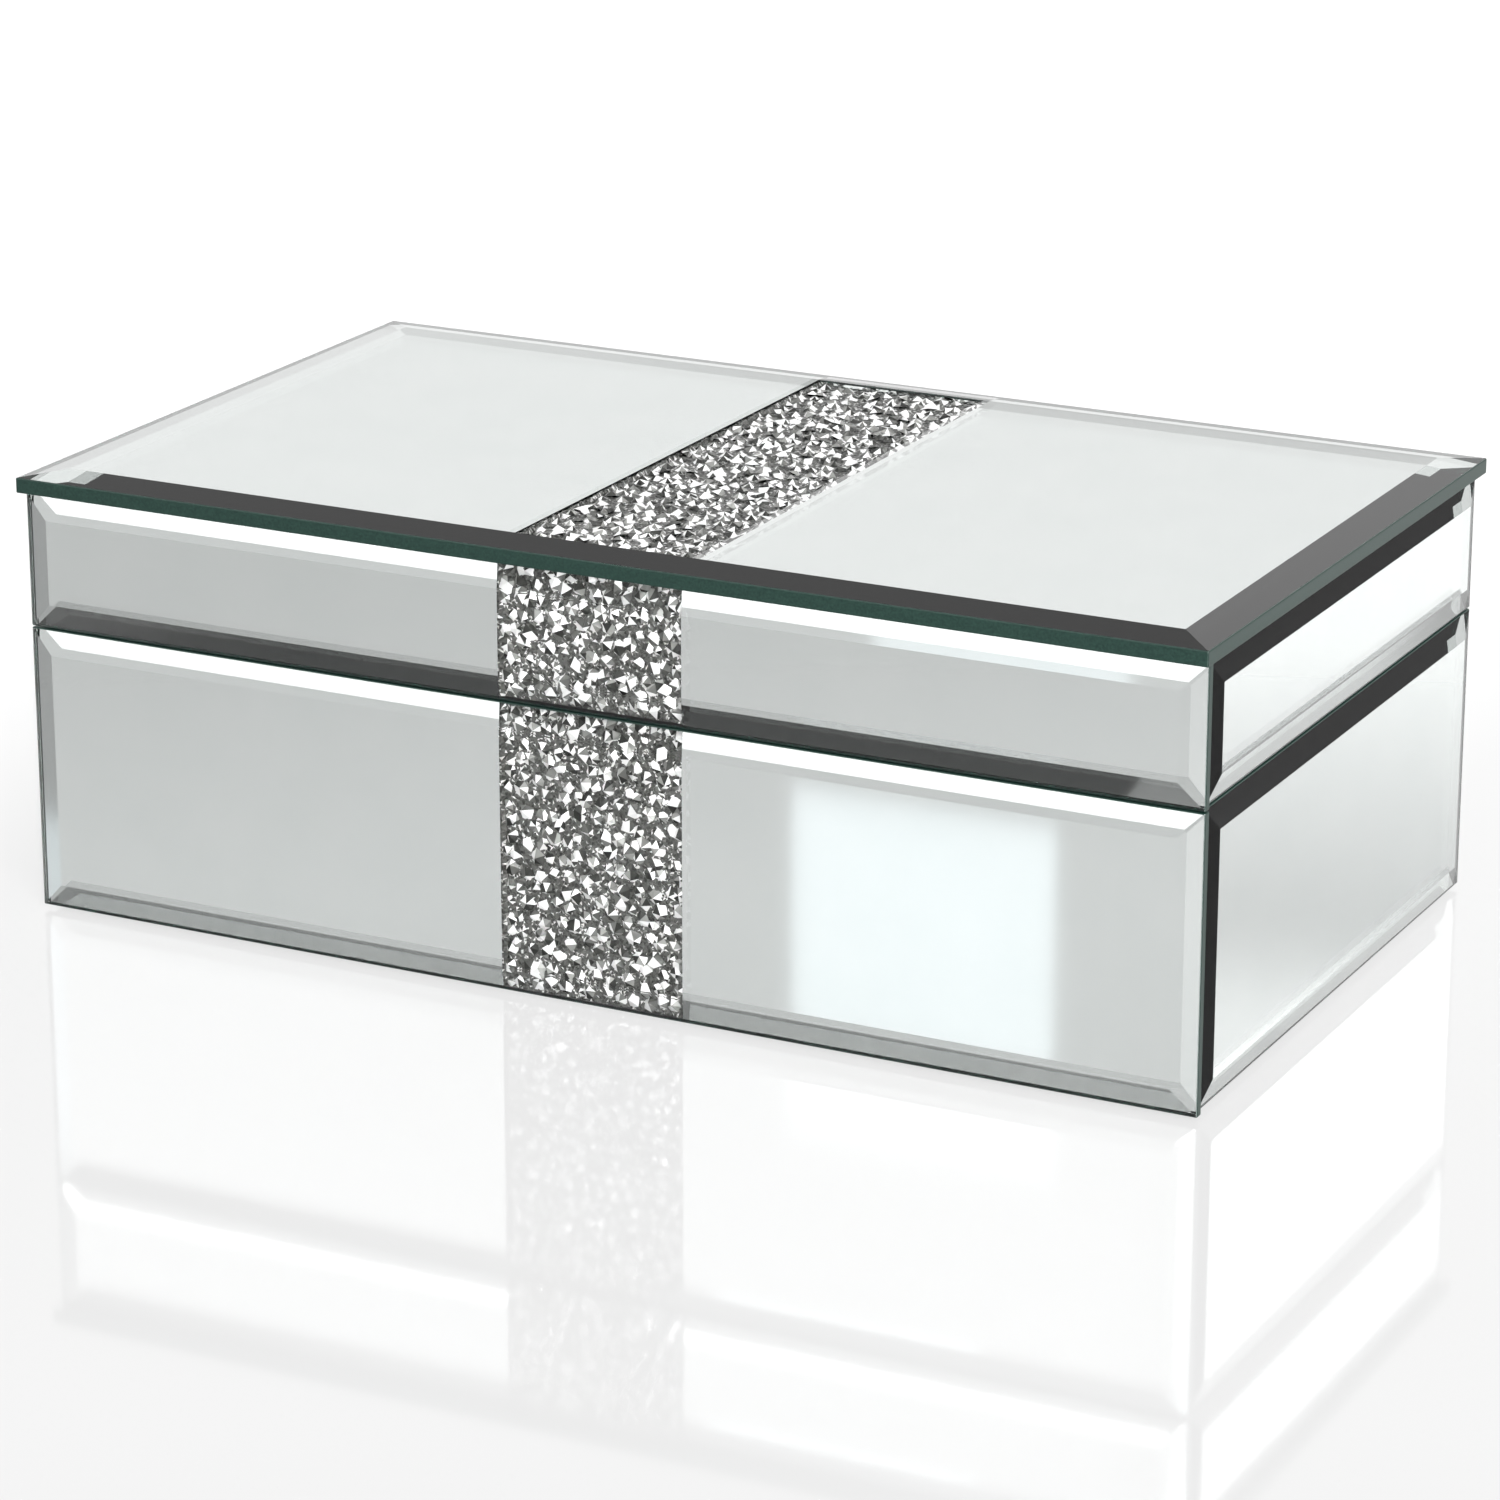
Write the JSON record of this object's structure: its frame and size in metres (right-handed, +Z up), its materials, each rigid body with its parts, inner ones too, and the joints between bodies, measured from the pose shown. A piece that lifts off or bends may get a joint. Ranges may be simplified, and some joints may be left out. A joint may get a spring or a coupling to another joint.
{
  "type": "jewellery box",
  "caption": "Velvet-lined box in bevelled mirror glass with a hinged lid, ring rolls and a crushed-crystal band over the top and front.",
  "frame": {"origin": "centre of the underside, on the surface that the box stands on", "axes": "+X along the box's length, to the right as seen from the front; +Y to the back, where the hinges are; +Z up"},
  "size_m": [0.248, 0.1426, 0.09],
  "materials": {
    "mirror_glass": "polished bevelled glass, silvered behind, with a clear strip in front of the crystals",
    "crystal": "crushed crystal chips with silvered backs",
    "fibreboard": "medium-density fibreboard sealed with black lacquer",
    "velvet": "short black velvet pile",
    "felt": "black felt",
    "nickel": "bright nickel plate",
    "silicone": "clear silicone"
  },
  "bodies": {
    "base": {"base_back_glass": "mirror_glass", "base_back_lining": "velvet", "base_back_wall": "fibreboard", "base_felt": "felt", "base_floor_board": "fibreboard", "base_floor_pad": "velvet", "base_front_crystals": "crystal", "base_front_glass": "mirror_glass", "base_front_lining": "velvet", "base_front_wall": "fibreboard", "base_left_glass": "mirror_glass", "base_left_lining": "velvet", "base_left_wall": "fibreboard", "base_right_glass": "mirror_glass", "base_right_lining": "velvet", "base_right_wall": "fibreboard", "cross_divider": "velvet", "left_hinge_base_leaf": "nickel", "left_hinge_base_screw_1": "nickel", "left_hinge_base_screw_2": "nickel", "left_hinge_pin": "nickel", "left_rim_bumper": "silicone", "long_divider": "velvet", "right_hinge_base_leaf": "nickel", "right_hinge_base_screw_1": "nickel", "right_hinge_base_screw_2": "nickel", "right_hinge_pin": "nickel", "right_rim_bumper": "silicone", "ring_roll_1": "velvet", "ring_roll_2": "velvet", "ring_roll_3": "velvet", "ring_roll_4": "velvet", "ring_roll_5": "velvet"},
    "lid": {"left_hinge_lid_leaf": "nickel", "left_hinge_lid_screw_1": "nickel", "left_hinge_lid_screw_2": "nickel", "lid_back_glass": "mirror_glass", "lid_back_lining": "velvet", "lid_back_rail": "fibreboard", "lid_board": "fibreboard", "lid_front_crystals": "crystal", "lid_front_glass": "mirror_glass", "lid_front_lining": "velvet", "lid_front_rail": "fibreboard", "lid_left_glass": "mirror_glass", "lid_left_lining": "velvet", "lid_left_rail": "fibreboard", "lid_pad": "velvet", "lid_right_glass": "mirror_glass", "lid_right_lining": "velvet", "lid_right_rail": "fibreboard", "lid_top_crystals": "crystal", "lid_top_glass": "mirror_glass", "right_hinge_lid_leaf": "nickel", "right_hinge_lid_screw_1": "nickel", "right_hinge_lid_screw_2": "nickel"}
  },
  "joints": [
    {"name": "lid_hinge", "type": "hinge", "parent": "base", "child": "lid", "pos_m": [0, 0.07005, 0.0586], "axis": [-1, 0, 0], "range_deg": [0, 95]}
  ]
}
